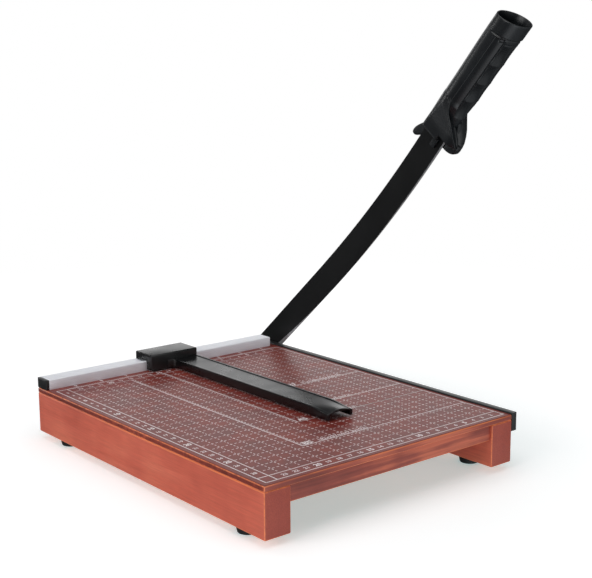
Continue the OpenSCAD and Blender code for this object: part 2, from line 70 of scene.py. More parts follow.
camera_data = bpy.data.cameras.new("camera")
camera_data.lens = LENS
camera_data.sensor_width = 36.0
camera = bpy.data.objects.new("camera", camera_data)
turn = Matrix.Rotation(math.radians(-AZIMUTH), 4, "Z")
tip = Matrix.Rotation(math.radians(90 + PITCH), 4, "X")
lean = Matrix.Rotation(math.radians(ROLL), 4, "Z")
camera.matrix_world = Matrix.Translation(CAMERA_AT) @ turn @ tip @ lean
bpy.context.scene.collection.objects.link(camera)
bpy.context.scene.camera = camera
bpy.context.scene.view_settings.view_transform = "Standard"
print("camera", LENS, "mm at", CAMERA_AT)

# %% [markdown]
# ## Colours and material helpers
# Colours are written as the sRGB hex values a designer would pick, and turned to linear light by one
# function. Every material is a Principled shader; the one helper below adds a node with its settings and
# its links.


# %% Material helpers
def linear(hex_colour):
    """sRGB hex to linear RGBA: c / 12.92 below 0.04045, else ((c + 0.055) / 1.055) ** 2.4."""
    srgb = np.array([int(hex_colour[i : i + 2], 16) for i in (1, 3, 5)]) / 255
    rgb = np.where(srgb <= 0.04045, srgb / 12.92, ((srgb + 0.055) / 1.055) ** 2.4)
    return (*rgb.tolist(), 1.0)


def add_node(tree, kind, settings=None, links=None):
    """Adds one node. settings are its properties or, for names of sockets, their values; links go from a
    socket name or number to the output that feeds it."""
    made = tree.nodes.new(kind)
    for key, value in (settings or {}).items():
        if isinstance(key, int) or key in made.inputs:
            made.inputs[key].default_value = value
        else:
            setattr(made, key, value)
    for key, source in (links or {}).items():
        tree.links.new(source, made.inputs[key])
    return made


def new_material(name, **surface):
    """An empty material with a Principled shader, whose sockets take the given values."""
    material = bpy.data.materials.new(name)
    material.use_nodes = True
    tree = material.node_tree
    tree.nodes.clear()
    shader = add_node(tree, "ShaderNodeBsdfPrincipled", {k.replace("_", " "): v for k, v in surface.items()})
    add_node(tree, "ShaderNodeOutputMaterial", links={"Surface": shader.outputs[0]})
    return material, tree, shader


def object_place(tree, scale=(1, 1, 1)):
    """The point's place in metres on the piece, stretched by scale."""
    place = add_node(tree, "ShaderNodeTexCoord").outputs["Object"]
    return add_node(tree, "ShaderNodeMapping", {"Scale": scale}, {"Vector": place}).outputs[0]


def noise(tree, where, per_metre, detail, roughness):
    """Fractal noise with the given number of cells to a metre."""
    made = add_node(tree, "ShaderNodeTexNoise",
                    {"Scale": per_metre, "Detail": detail, "Roughness": roughness}, {"Vector": where})
    return made.outputs["Fac"]


def ramp(tree, value, stops):
    """Colour by value: stops are (position, hex)."""
    made = add_node(tree, "ShaderNodeValToRGB", links={"Fac": value})
    for index, (position, colour) in enumerate(stops):
        if index > 1:
            made.color_ramp.elements.new(position)
        made.color_ramp.elements[index].position = position
        made.color_ramp.elements[index].color = linear(colour)
    return made.outputs["Color"]


def remap(tree, value, low_in, high_in, low, high):
    """value from low_in..high_in to low..high, clamped."""
    made = add_node(tree, "ShaderNodeMapRange", {"From Min": low_in, "From Max": high_in, "To Min": low,
                                                 "To Max": high}, {"Value": value})
    return made.outputs[0]


def mix_colour(tree, share, first, second, kind="MIX"):
    """first with a share of second over it. Each colour is a hex value or another node's output."""
    made = add_node(tree, "ShaderNodeMix", {"data_type": "RGBA", "blend_type": kind})
    for socket, value in ((0, share), (6, first), (7, second)):
        if isinstance(value, str):
            made.inputs[socket].default_value = linear(value)
        elif isinstance(value, (int, float)):
            made.inputs[socket].default_value = value
        else:
            tree.links.new(value, made.inputs[socket])
    return made.outputs[2]


def bump(tree, shader, height, depth_mm):
    """Tilts the surface by a height pattern of 0 to 1 that is depth_mm deep."""
    made = add_node(tree, "ShaderNodeBump", {"Strength": 1.0, "Distance": depth_mm * MM}, {"Height": height})
    tree.links.new(made.outputs[0], shader.inputs["Normal"])


# %% [markdown]
# ## Surfaces from points
# Every finished shape below is worked out as an array of points, row after row, and one function joins
# neighbouring points to faces. A second one puts the mesh into the scene: the piece rides on a body of the
# frame, so it moves with its joint, and it may stand for parts of the frame, which are then hidden.


# %% Grid of points to mesh, and mesh to piece
def grid_mesh(name, points, cap_start=False, cap_end=False, smooth=True):
    """A tube of faces from an array of points [rows, columns, 3]: each four neighbours make a face, the
    last column joins the first, and a cap fills the first or the last row's outline."""
    rows, cols = points.shape[:2]
    i, j = np.meshgrid(np.arange(rows - 1), np.arange(cols), indexing="ij")
    a = i * cols + j
    b = i * cols + (j + 1) % cols
    faces = np.stack([a, b, b + cols, a + cols], -1).reshape(-1, 4).tolist()
    if cap_start:
        faces.append(list(range(cols))[::-1])
    if cap_end:
        faces.append(list(range((rows - 1) * cols, rows * cols)))
    mesh = bpy.data.meshes.new(name)
    mesh.from_pydata(points.reshape(-1, 3).tolist(), [], faces)
    mesh.polygons.foreach_set("use_smooth", [smooth] * len(mesh.polygons))
    mesh.update()
    return mesh


def add_piece(name, mesh, body, material, replaced=()):
    """Puts a finished mesh into the scene as a piece that rides on a body and may stand for CAD nodes."""
    piece = bpy.data.objects.new(name, mesh)
    bpy.context.scene.collection.objects.link(piece)
    mesh.materials.clear()
    mesh.materials.append(material)
    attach(piece, body)
    if replaced:
        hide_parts(*replaced)
    return piece


def coat(node, material):
    """Gives a CAD part, whose shape is right as it is, its finished material."""
    NODES[node].data.materials.clear()
    NODES[node].data.materials.append(material)


# %% [markdown]
# ## Stage and light
# A white sweep, as in a shop's light tent: a pale floor, a white background, one large soft light above,
# one at the user's left for the wood, a weak one in front, a broad one behind, and a narrow upright strip
# behind the bed that draws a highlight along the black plastic. The floor is kept out of reflections, so
# that black parts stay black and mirror only the lights. Two pale cards light the cutter without being seen
# themselves: a small bright one low at the left draws the soft highlight along the round grip, and a wide,
# weak one stands low in front.

# %% Floor
FLOOR_RADIUS, FLOOR_SIDES = 0.9, 96

around = np.linspace(0, 2 * math.pi, FLOOR_SIDES, endpoint=False)
below = np.full(FLOOR_SIDES, -0.05 * MM)
rim = np.stack([FLOOR_RADIUS * np.cos(around), FLOOR_RADIUS * np.sin(around), below], -1)
floor_mesh = grid_mesh("floor", np.stack([rim * [0.02, 0.02, 1], rim]), cap_start=True, smooth=False)
floor_mesh.flip_normals()
floor = bpy.data.objects.new("floor", floor_mesh)
bpy.context.scene.collection.objects.link(floor)
floor.visible_glossy = False
print("floor: a disc of radius", FLOOR_RADIUS, "m")

# %% Background and cards
world = bpy.data.worlds.new("light_tent")
bpy.context.scene.world = world
world.use_nodes = True
sky = world.node_tree
sky.nodes.clear()
sky_direction = add_node(sky, "ShaderNodeTexCoord").outputs["Generated"]


def pale_card(direction, edge, centre, low, high):
    """Light from a round patch of the sky. It climbs from low to high by 3s^2 - 2s^3 while the dot product
    of the ray and the patch's direction goes from edge to centre."""
    towards = add_node(sky, "ShaderNodeVectorMath",
                       {"operation": "DOT_PRODUCT", 1: Vector(direction).normalized()}, {0: sky_direction})
    made = add_node(sky, "ShaderNodeMapRange", {"interpolation_type": "SMOOTHSTEP", "From Min": edge,
                                                "From Max": centre, "To Min": low, "To Max": high},
                    {"Value": towards.outputs["Value"]})
    return made.outputs[0]


left_card = pale_card((-0.56, -0.48, -0.67), 0.88, 0.98, 0.1, 1.9)
front_card = pale_card((0.15, -0.9, -0.4), 0.45, 0.95, 0.0, 0.55)
both_cards = add_node(sky, "ShaderNodeMath", links={0: left_card, 1: front_card})
seen = add_node(sky, "ShaderNodeBackground", {"Color": (1, 1, 1, 1), "Strength": 1.0})
fill = add_node(sky, "ShaderNodeBackground", {"Color": (0.93, 0.97, 1, 1)},
                {"Strength": both_cards.outputs[0]})
from_camera = add_node(sky, "ShaderNodeLightPath").outputs["Is Camera Ray"]
sky_mix = add_node(sky, "ShaderNodeMixShader", links={0: from_camera, 1: fill.outputs[0], 2: seen.outputs[0]})
add_node(sky, "ShaderNodeOutputWorld", links={0: sky_mix.outputs[0]})
print("background:", world.name, "with", len(sky.nodes), "nodes")


# %% Lights
def area_light(name, place, aim, size, power):
    """A soft rectangular light of size (across, up) metres at place, facing aim."""
    data = bpy.data.lights.new(name, "AREA")
    data.shape = "RECTANGLE"
    data.size, data.size_y = size
    data.energy = power
    lamp = bpy.data.objects.new(name, data)
    lamp.location = place
    lamp.rotation_euler = (Vector(aim) - Vector(place)).to_track_quat("-Z", "Y").to_euler()
    bpy.context.scene.collection.objects.link(lamp)


LAMPS = (
    ("overhead", (-0.1, -0.1, 1.5), (0.0, 0.0, 0.0), (1.8, 1.8), 14),
    ("user_side", (-1.6, -0.15, 0.75), (0.0, -0.1, 0.05), (1.2, 0.9), 12),
    ("front_fill", (0.3, -1.8, 0.7), (0.0, 0.0, 0.1), (1.2, 0.8), 3.6),
    ("backdrop", (1.6, 1.9, 0.55), (0.0, 0.0, 0.1), (2.4, 1.0), 9),
    ("rim_strip", (-0.55, 1.5, 0.45), (0.12, 0.0, 0.25), (0.08, 1.2), 2.6),
)
for lamp in LAMPS:
    area_light(*lamp)
print("lights:", ", ".join(lamp[0] for lamp in LAMPS))

# %% [markdown]
# ## White sweep
# Close to the cutter the floor is matt warm paper, lit a little from below by a cool light, that takes a
# soft contact shadow. The two tints cancel to white in the open, and in the shadow they cancel the red
# light from the wood. Further out it turns into a glowing white, so it meets the white background without
# an edge.

# %% Floor material
WARM_WHITE, COOL_LIFT = (0.95, 0.77, 0.77, 1.0), (0.66, 1, 1, 1)

SWEEP, sweep_tree, sweep_paper = new_material("white_paper_sweep", Base_Color=WARM_WHITE, Roughness=0.9)
sweep_place = add_node(sweep_tree, "ShaderNodeTexCoord").outputs["Object"]
away = add_node(sweep_tree, "ShaderNodeVectorMath", {"operation": "LENGTH"}, {0: sweep_place})
lift = add_node(sweep_tree, "ShaderNodeEmission", {"Color": COOL_LIFT, "Strength": 0.42})
lifted = add_node(sweep_tree, "ShaderNodeAddShader", links={0: sweep_paper.outputs[0], 1: lift.outputs[0]})
glow = add_node(sweep_tree, "ShaderNodeEmission", {"Color": (1, 1, 1, 1), "Strength": 1.1})
fade_at = remap(sweep_tree, away.outputs["Value"], 0.2, 0.36, 0.0, 1.0)
fade = add_node(sweep_tree, "ShaderNodeMixShader",
                links={0: fade_at, 1: lifted.outputs[0], 2: glow.outputs[0]})
sweep_out = next(n for n in sweep_tree.nodes if n.bl_idname == "ShaderNodeOutputMaterial")
sweep_tree.links.new(fade.outputs[0], sweep_out.inputs["Surface"])
floor_mesh.materials.append(SWEEP)
print("floor material:", SWEEP.name)

# %% [markdown]
# ## Stained wood
# The base is soft wood, stained brick red and lacquered. A stain soaks in unevenly, so the colour drifts
# over a few centimetres and follows the grain as thin streaks. Every edge is lightened to a bright orange:
# partly lacquer rubbed through, partly a painted highlight where the rounding catches the light. The grain
# is noise stretched along the length of the piece: fibres about 1 mm wide and 25 mm long over streaks of
# about 5 by 100 mm.


# %% Wood
GRAIN_STRETCH = 0.045
FIBRES, STREAKS, EDGE_BREAKUP, DRIFT, PORES = 900, 210, 330, 16, 1500


def stained_wood(name, along, streak_contrast, dark, body, light):
    """Wood with its grain along axis 0, 1 or 2. End grain drinks more stain, so faces across the grain are
    darker. The attribute edge lightens the edges to orange: partly rubbed lacquer, partly a painted
    highlight. The patterns above are in cells to a metre."""
    material, tree, shader = new_material(name, Roughness=0.42)
    shader.inputs["Coat Weight"].default_value = 0.25
    shader.inputs["Coat Roughness"].default_value = 0.3
    stretch = [1.0, 1.0, 1.0]
    stretch[along] = GRAIN_STRETCH
    fibres = noise(tree, object_place(tree, stretch), FIBRES, 5.0, 0.6)
    streaks = noise(tree, object_place(tree, stretch), STREAKS, 4.0, 0.6)
    drift = noise(tree, object_place(tree), DRIFT, 3.0, 0.5)
    tone = add_node(tree, "ShaderNodeMath", {"operation": "MULTIPLY_ADD", 1: streak_contrast},
                    {0: streaks, 2: drift})
    tone_at = remap(tree, tone.outputs[0], 0.3 + 0.5 * streak_contrast, 0.7 + 0.5 * streak_contrast, 0.0, 1.0)
    colour = ramp(tree, tone_at, [(0.0, dark), (0.55, body), (1.0, light)])
    fine = remap(tree, fibres, 0.32, 0.7, 0.86, 1.06)
    fine_grey = add_node(tree, "ShaderNodeCombineColor", links={0: fine, 1: fine, 2: fine})
    colour = mix_colour(tree, 1.0, colour, fine_grey.outputs[0], "MULTIPLY")
    # Painted highlight and rubbed lacquer: every rounded edge is lightened to orange, broken up by noise.
    edge = add_node(tree, "ShaderNodeAttribute", {"attribute_name": "edge"}).outputs["Fac"]
    edge_breakup = noise(tree, object_place(tree, stretch), EDGE_BREAKUP, 3.0, 0.7)
    rubbed_and_highlit = add_node(tree, "ShaderNodeMath", {"operation": "MULTIPLY"},
                      {0: edge, 1: remap(tree, edge_breakup, 0.38, 0.6, 0.25, 1.0)})
    colour = mix_colour(tree, rubbed_and_highlit.outputs[0], colour, "#F08A55")
    normal = add_node(tree, "ShaderNodeTexCoord").outputs["Normal"]
    sides = add_node(tree, "ShaderNodeSeparateXYZ", links={0: normal})
    turned = add_node(tree, "ShaderNodeMath", {"operation": "ABSOLUTE"}, {0: sides.outputs[along]})
    pores = remap(tree, noise(tree, object_place(tree), PORES, 3.0, 0.6), 0.35, 0.6, 0.75, 1.0)
    end_grain = add_node(tree, "ShaderNodeMath", {"operation": "MULTIPLY"},
                         {0: remap(tree, turned.outputs[0], 0.8, 0.98, 0.0, 0.95), 1: pores})
    colour = mix_colour(tree, end_grain.outputs[0], colour, "#CDB0AE", "MULTIPLY")
    tree.links.new(colour, shader.inputs["Base Color"])
    tree.links.new(remap(tree, streaks, 0.3, 0.7, 0.36, 0.52), shader.inputs["Roughness"])
    bump(tree, shader, fibres, 0.05)
    return material


WOOD_SIDE = stained_wood("wood_side_rail", 1, 0.35, "#B9513D", "#CB6049", "#D56E53")
WOOD_FRONT = stained_wood("wood_front_rail", 0, 0.9, "#7E3429", "#9E4637", "#CF6A4C")
print("wood materials:", WOOD_SIDE.name, WOOD_FRONT.name)

# %% [markdown]
# ## Rounded wooden bars
# A planed bar has six flat faces and twelve edges eased by sandpaper. Its surface is one grid: a rounded
# rectangle is carried up a profile that comes in by the edge radius at the bottom and the top. Row by row
# the outline is the same, only inset, so the whole bar is computed at once.


# %% Rounded bar
def rounded_rectangle(half_x, half_y, radius, arc=6):
    """Outline points of a rounded rectangle, anticlockwise: quarter circles of the radius about the corners
    of the rectangle that is smaller by that radius."""
    angles = np.linspace(0, math.pi / 2, arc)
    corners = [(1, 1, 0), (-1, 1, 1), (-1, -1, 2), (1, -1, 3)]
    rings = []
    for sx, sy, quarter in corners:
        turned = angles + quarter * math.pi / 2
        rings.append(np.stack([sx * (half_x - radius) + radius * np.cos(turned),
                               sy * (half_y - radius) + radius * np.sin(turned)], -1))
    return np.concatenate(rings)


def rounded_bar(name, low, high, radius, plan_radius, arc=5):
    """A bar between two corners. Rows go up a quarter circle of the radius, the wall, and a quarter circle
    back; the outline of each row is inset by the same amount all round. The attribute edge is 1 in the
    middle of a rounding."""
    low, high = np.array(low, float), np.array(high, float)
    half = (high - low) / 2
    middle = (high + low) / 2
    bend = np.linspace(0, math.pi / 2, arc)
    inset = np.concatenate([radius * (1 - np.sin(bend)), radius * (1 - np.cos(bend))])
    height = np.concatenate([low[2] + radius * (1 - np.cos(bend)), high[2] - radius * (1 - np.sin(bend))])
    rows = []
    for shift, z in zip(inset, height):
        ring = rounded_rectangle(half[0] - shift, half[1] - shift, max(plan_radius - shift, 0.05 * MM))
        rows.append(np.concatenate([ring + middle[:2], np.full((len(ring), 1), z)], 1))
    points = np.stack(rows)
    mesh = grid_mesh(name, points, cap_start=True, cap_end=True)
    across = np.sin(2 * np.concatenate([bend, bend]))[:, None] * np.ones((1, points.shape[1]))
    corner_bend = np.tile(np.sin(2 * np.linspace(0, math.pi / 2, points.shape[1] // 4)), 4)[None, :]
    edge = np.maximum(across, corner_bend * np.ones((len(rows), 1)))
    attribute = mesh.attributes.new("edge", "FLOAT", "POINT")
    attribute.data.foreach_set("value", edge.reshape(-1).astype(np.float32))
    return mesh


def flat_shading_on_caps(mesh):
    """The big end faces stay flat; the rest is smooth and keeps its roundings."""
    flags = np.ones(len(mesh.polygons), bool)
    flags[-2:] = False
    mesh.polygons.foreach_set("use_smooth", flags)
    return mesh


def wooden_bar(node, material, radius, plan_radius):
    """Replaces a CAD bar by a rounded one in the same box."""
    mesh = flat_shading_on_caps(rounded_bar(node + "_wood", *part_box(node), radius, plan_radius))
    return add_piece(node + "_wood", mesh, "base", material, (node,))


for node, material, radius, plan_radius, slot in (
    ("left_rail", WOOD_SIDE, 1.2 * MM, 1.0 * MM, "stained_wood"),
    ("right_rail", WOOD_SIDE, 1.2 * MM, 1.0 * MM, "stained_wood"),
    ("front_cross_rail", WOOD_FRONT, 0.9 * MM, 0.4 * MM, "stained_wood"),
    ("rear_cross_rail", WOOD_FRONT, 0.9 * MM, 0.4 * MM, "stained_wood"),
    ("top_board", WOOD_FRONT, 0.9 * MM, 1.0 * MM, "board"),
):
    made = wooden_bar(node, material, radius, plan_radius)
    print(made.name, len(made.data.polygons), "faces")

# %% [markdown]
# ## Printed bed
# The bed is a thin laminate: red-brown colour under a clear satin film, which mirrors a little at this low
# angle. On it the maker printed a scale along three sides, a dashed centimetre grid and the corners of the
# common paper sizes. The ink is a real layer, 0.02 mm thick, so every line is a tiny slab and every figure
# an extruded letter. The scale counts from the cutting edge and from the back of the paper, 2 mm behind the
# fence's face.


# %% Laminate and ink
def laminate():
    """Printed melamine film on board: satin, with a cloudy print of 18 mm patches and 1 mm specks."""
    material, tree, shader = new_material("printed_laminate", Roughness=0.4)
    cloud = noise(tree, object_place(tree), 55, 5.0, 0.65)
    colour = ramp(tree, remap(tree, cloud, 0.35, 0.68, 0.0, 1.0),
                  [(0.0, "#6E231B"), (0.5, "#7C2C22"), (1.0, "#8B372A")])
    speck = noise(tree, object_place(tree), 900, 2.0, 0.5)
    colour = mix_colour(tree, remap(tree, speck, 0.55, 0.75, 0.0, 0.35), colour, "#54211C")
    tree.links.new(colour, shader.inputs["Base Color"])
    tree.links.new(remap(tree, cloud, 0.3, 0.7, 0.36, 0.44), shader.inputs["Roughness"])
    bump(tree, shader, speck, 0.004)
    return material


def printing_ink(name, colour):
    """Screen ink, slightly broken up where it printed thin."""
    material, tree, shader = new_material(name, Roughness=0.34)
    thin = noise(tree, object_place(tree), 1300, 2.0, 0.6)
    broken = mix_colour(tree, remap(tree, thin, 0.5, 0.72, 0.0, 0.35), colour, "#8C5A50")
    tree.links.new(broken, shader.inputs["Base Color"])
    bump(tree, shader, thin, 0.003)
    return material


LAMINATE = laminate()
INK = printing_ink("printing_ink", "#EFE7E8")
coat("printed_sheet", LAMINATE)
print("bed:", LAMINATE.name, "with", INK.name)

# %% Where the print starts
BED_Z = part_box("printed_sheet")[1].z
CUT_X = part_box("fixed_blade")[1].x
FENCE_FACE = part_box("fence")[0].y
PAPER_BACK = FENCE_FACE + 2 * MM
INK_THICK = 0.02 * MM


def slab_mesh(name, boxes, low_z, high_z):
    """One closed box for each row (x0, y0, x1, y1): its four corners low and high, and six faces."""
    boxes = np.array(boxes, float)
    x = boxes[:, [0, 2, 2, 0]]
    y = boxes[:, [1, 1, 3, 3]]
    low = np.stack([x, y, np.full_like(x, low_z)], -1)
    high = np.stack([x, y, np.full_like(x, high_z)], -1)
    points = np.concatenate([low, high], 1).reshape(-1, 3)
    one = np.array([[3, 2, 1, 0], [4, 5, 6, 7], [0, 1, 5, 4], [1, 2, 6, 5], [2, 3, 7, 6], [3, 0, 4, 7]])
    faces = (one[None] + 8 * np.arange(len(boxes))[:, None, None]).reshape(-1, 4)
    mesh = bpy.data.meshes.new(name)
    mesh.from_pydata(points.tolist(), [], faces.tolist())
    return mesh


DASH_WIDE, FRAME_WIDE, MIDDLE_WIDE, TICK_WIDE = 0.62, 0.8, 0.5, 0.25


def line_x(y, x0, x1, width=DASH_WIDE):
    """A printed line across the bed, in millimetres from the cutting edge and the paper's back."""
    return [x0, y - width / 2, x1, y + width / 2]


def line_y(x, y0, y1, width=DASH_WIDE):
    """A printed line along the bed."""
    return [x - width / 2, y0, x + width / 2, y1]


# %% Rulers, grid and paper corners
COLUMNS, ROWS = 24, 29
START = -10
MARGIN_X, MARGIN_Y = -10 * COLUMNS, -10 * ROWS
LAST_X, LAST_Y = MARGIN_X - 10, MARGIN_Y - 10
SIZES = {"B7": (91, 128), "B6": (128, 182), "A5": (148, 210), "B5": (182, 257)}
DASH_PITCH, DASH = 4.0, 2.1
INCH = 25.4


def dashes(number, first, last):
    """Ends of the dashes of one line, counted from the corner and kept between first and last. They repeat
    every 4 mm, so they meet the crossings at 0, 20, 40 mm and leave the others open; shifting every second
    line by 10 mm turns the bed into rings of dashes with dots between them."""
    centres = np.arange(START * (number % 2), last + 1, -DASH_PITCH)
    return [(max(c - DASH / 2, last), min(c + DASH / 2, first)) for c in centres if c < first - 1]


lines = [line_x(2 * START, MARGIN_X, START, MIDDLE_WIDE)]
lines += [line_x(y, LAST_X, START, FRAME_WIDE) for y in (START, MARGIN_Y, LAST_Y)]
lines += [line_y(x, LAST_Y, START, FRAME_WIDE) for x in (START, MARGIN_X, LAST_X)]
for wide, long in SIZES.values():
    lines += [line_x(-long, -wide, START, FRAME_WIDE), line_y(-wide, -long, 2 * START, FRAME_WIDE)]
    lines += [line_x(-mm, -wide, -wide + (2.0 if mm % 5 == 0 else 1.3), TICK_WIDE) for mm in range(21, long)]
for mm in range(11, 10 * ROWS):
    reach = 2.2 if mm % 5 == 0 else 1.4
    lines.append(line_x(-mm, MARGIN_X - 0.4 * reach, MARGIN_X, TICK_WIDE))
    if mm < 10 * COLUMNS:
        lines.append(line_y(-mm, START - reach, START, TICK_WIDE))
        lines.append(line_y(-mm, MARGIN_Y - 0.4 * reach, MARGIN_Y, TICK_WIDE))
for sixteenth in range(7, 150):
    x = -sixteenth * INCH / 16
    if sixteenth % 16 == 0:
        lines.append(line_y(x, START, START + 3.4, MIDDLE_WIDE))
    else:
        lines.append(line_y(x, START, START + 1.6, TICK_WIDE))
for row in range(3, ROWS):
    lines += [line_x(-10 * row, *ends) for ends in dashes(row, START, MARGIN_X)]
for column in range(2, COLUMNS):
    lines += [line_y(-10 * column, *ends) for ends in dashes(column, 2 * START, MARGIN_Y)]

place = np.array(lines) * MM + np.array([CUT_X, PAPER_BACK, CUT_X, PAPER_BACK])
rules = slab_mesh("print_rules", place, BED_Z - INK_THICK, BED_Z + INK_THICK)
add_piece("print_rules", rules, "base", INK)
print("print: ", len(lines), "lines and dashes")


# %% Figures
FIGURE_SHARE = 0.7


def letters(words):
    """One mesh of many short texts. Each word is (text, x, y, height, weight, align), in millimetres from
    the cutting edge and the paper's back; weight fattens the strokes. A figure is FIGURE_SHARE of the
    type's size high."""
    points, faces, count = [], [], 0
    for text, x, y, height, weight, align in words:
        curve = bpy.data.curves.new("word", "FONT")
        curve.body = text
        curve.size = height / FIGURE_SHARE * MM
        curve.offset = weight * MM
        curve.extrude = INK_THICK
        curve.align_x = align
        curve.resolution_u = 3
        holder = bpy.data.objects.new("word", curve)
        bpy.context.scene.collection.objects.link(holder)
        bpy.context.view_layer.update()
        mesh = bpy.data.meshes.new_from_object(holder.evaluated_get(bpy.context.evaluated_depsgraph_get()))
        co = np.zeros(len(mesh.vertices) * 3)
        mesh.vertices.foreach_get("co", co)
        co = co.reshape(-1, 3) + [CUT_X + x * MM, PAPER_BACK + y * MM, BED_Z]
        points.append(co)
        faces += [[v + count for v in face.vertices] for face in mesh.polygons]
        count += len(co)
        bpy.data.objects.remove(holder)
        bpy.data.meshes.remove(mesh)
        bpy.data.curves.remove(curve)
    made = bpy.data.meshes.new("print_figures")
    made.from_pydata(np.concatenate(points).tolist(), [], faces)
    return made


words = []
for cm in range(2, ROWS):
    x, y = -10 * cm, -10 * cm - 1.8
    if cm % 5 == 0:
        back, front, left = (x, -17.6, 4.4, 0.22), (x, -297.2, 4.4, 0.25), (-245, y, 4.2, 0.25)
    else:
        back, front, left = (x, -17.2, 3.4, 0.06), (x, -296.8, 3.6, 0.1), (-245, y, 3.2, 0.1)
    scales = (back, front, left) if cm < COLUMNS else (left,)
    words += [(str(cm), *scale, "CENTER") for scale in scales]
words += [(str(inch), -INCH * inch, -6.4, 3.6, 0.2, "CENTER") for inch in range(1, 10)]
for name, (wide, long) in SIZES.items():
    words.append((name, -wide + 3.2, -long + 1.2, 5.4, 0.3, "LEFT"))
    inches = "%dx%dmm(%.1fx%.1f)" % (wide, long, wide / INCH, long / INCH)
    words.append((inches, -wide + 17, -long + 1.2, 3.8, 0.08, "LEFT"))
figures = letters(words)
add_piece("print_figures", figures, "base", INK)
print("figures:", len(words), "words,", len(figures.polygons), "faces")

# %% [markdown]
# ## Softened copies
# Pressed, extruded and turned metal parts already have their true shape in the frame. What they lack is the
# small rounding that every real edge has and that catches the light. A copy of the part is merged, its flat
# faces are joined again, and a narrow bevel is laid along every sharp edge.


# %% Softened copy
def softened(node, radius_mm, body, material, sharp=30):
    """A bevelled copy of a CAD part that replaces it. Edges that turn by more than sharp degrees are
    rounded."""
    mesh = NODES[node].data.copy()
    mesh.name = node + "_finished"
    work = bmesh.new()
    work.from_mesh(mesh)
    bmesh.ops.remove_doubles(work, verts=work.verts, dist=0.002 * MM)
    bmesh.ops.dissolve_limit(work, angle_limit=math.radians(0.5), verts=work.verts, edges=work.edges)
    work.to_mesh(mesh)
    work.free()
    mesh.polygons.foreach_set("use_smooth", [True] * len(mesh.polygons))
    piece = add_piece(node + "_finished", mesh, body, material, (node,))
    bevel = piece.modifiers.new("soft_edges", "BEVEL")
    bevel.width = radius_mm * MM
    bevel.segments = 2
    bevel.limit_method = "ANGLE"
    bevel.angle_limit = math.radians(sharp)
    bevel.harden_normals = True


# %% [markdown]
# ## Metals and plastics
# Anodised aluminium is blasted and etched before it is coloured, so it scatters light widely, with faint
# streaks along the extrusion. The blades are steel with a satin black coat. Screws, washers and the bolt
# are zinc plated: bright, slightly blue, and mottled where the plating varies. The black plastic is
# moulded: it carries the fine texture of the mould, and its gloss drifts where the wall sank a little.


# %% Metal and plastic materials
def anodised_aluminium():
    """Satin, with faint streaks along the extrusion and a fine blasted grain."""
    material, tree, shader = new_material("anodised_aluminium", Metallic=0.1, Roughness=0.4)
    streaks = noise(tree, object_place(tree, (0.02, 1, 1)), 2600, 3.0, 0.6)
    grain = noise(tree, object_place(tree), 2400, 2.0, 0.5)
    colour = ramp(tree, remap(tree, streaks, 0.35, 0.65, 0.0, 1.0), [(0.0, "#E6E7EE"), (1.0, "#F4F5FA")])
    tree.links.new(colour, shader.inputs["Base Color"])
    tree.links.new(remap(tree, streaks, 0.3, 0.7, 0.36, 0.5), shader.inputs["Roughness"])
    bump(tree, shader, grain, 0.006)
    return material


def black_coat(name, colour, lighter, rough_low, rough_high, grain_mm):
    """Satin black coat on steel: a fine orange peel, and a roughness that drifts over a few centimetres."""
    material, tree, shader = new_material(name, Roughness=rough_low)
    drift = noise(tree, object_place(tree), 30, 3.0, 0.5)
    peel = noise(tree, object_place(tree), 1000 / grain_mm, 2.0, 0.5)
    tree.links.new(ramp(tree, drift, [(0.3, colour), (0.7, lighter)]), shader.inputs["Base Color"])
    tree.links.new(remap(tree, drift, 0.3, 0.7, rough_low, rough_high), shader.inputs["Roughness"])
    bump(tree, shader, peel, 0.004)
    return material


def bright_metal(name, low, high, rough, mottle_mm):
    """Plated or ground metal, mottled at the given size."""
    material, tree, shader = new_material(name, Metallic=1.0, Roughness=rough)
    mottle = noise(tree, object_place(tree), 1000 / mottle_mm, 4.0, 0.6)
    tree.links.new(ramp(tree, mottle, [(0.3, low), (0.7, high)]), shader.inputs["Base Color"])
    tree.links.new(remap(tree, mottle, 0.3, 0.7, rough - 0.06, rough + 0.08), shader.inputs["Roughness"])
    bump(tree, shader, mottle, 0.004)
    return material


def moulded_plastic(name, colour, deep, rough, texture_mm, texture_depth):
    """Moulded plastic or rubber: the fine spark texture of the mould, and soft sink marks in the gloss."""
    material, tree, shader = new_material(name, Roughness=rough)
    texture = noise(tree, object_place(tree), 1000 / texture_mm, 2.0, 0.6)
    sink = noise(tree, object_place(tree), 45, 2.0, 0.5)
    tree.links.new(ramp(tree, sink, [(0.3, deep), (0.7, colour)]), shader.inputs["Base Color"])
    tree.links.new(remap(tree, sink, 0.3, 0.7, rough - 0.03, rough + 0.05), shader.inputs["Roughness"])
    bump(tree, shader, texture, texture_depth)
    return material


ALUMINIUM = anodised_aluminium()
BAR_COAT = black_coat("black_bar_steel", "#1B1C1D", "#202122", 0.36, 0.46, 0.5)
BLACK_SCREW = black_coat("black_oxide_screw", "#141416", "#1A1A1C", 0.38, 0.5, 0.4)
ZINC = bright_metal("zinc_plated_steel", "#AEB3BA", "#CBCED2", 0.28, 1.5)
SPRING_STEEL = bright_metal("spring_steel", "#8E9196", "#B4B6BA", 0.24, 0.8)
BLACK_PLASTIC = moulded_plastic("black_abs", "#1B1A1C", "#151516", 0.36, 0.35, 0.003)
RUBBER = moulded_plastic("black_rubber", "#1A1A1B", "#121213", 0.7, 0.4, 0.03)
NYLON = moulded_plastic("natural_nylon", "#E3E0D2", "#D8D5C6", 0.45, 0.5, 0.01)
BLUE_NYLON = moulded_plastic("blue_nylon", "#2F5C9E", "#28528F", 0.4, 0.5, 0.01)
BEECH = stained_wood("beech_dowel", 0, 0.5, "#C9A778", "#D7B88C", "#E3C9A2")

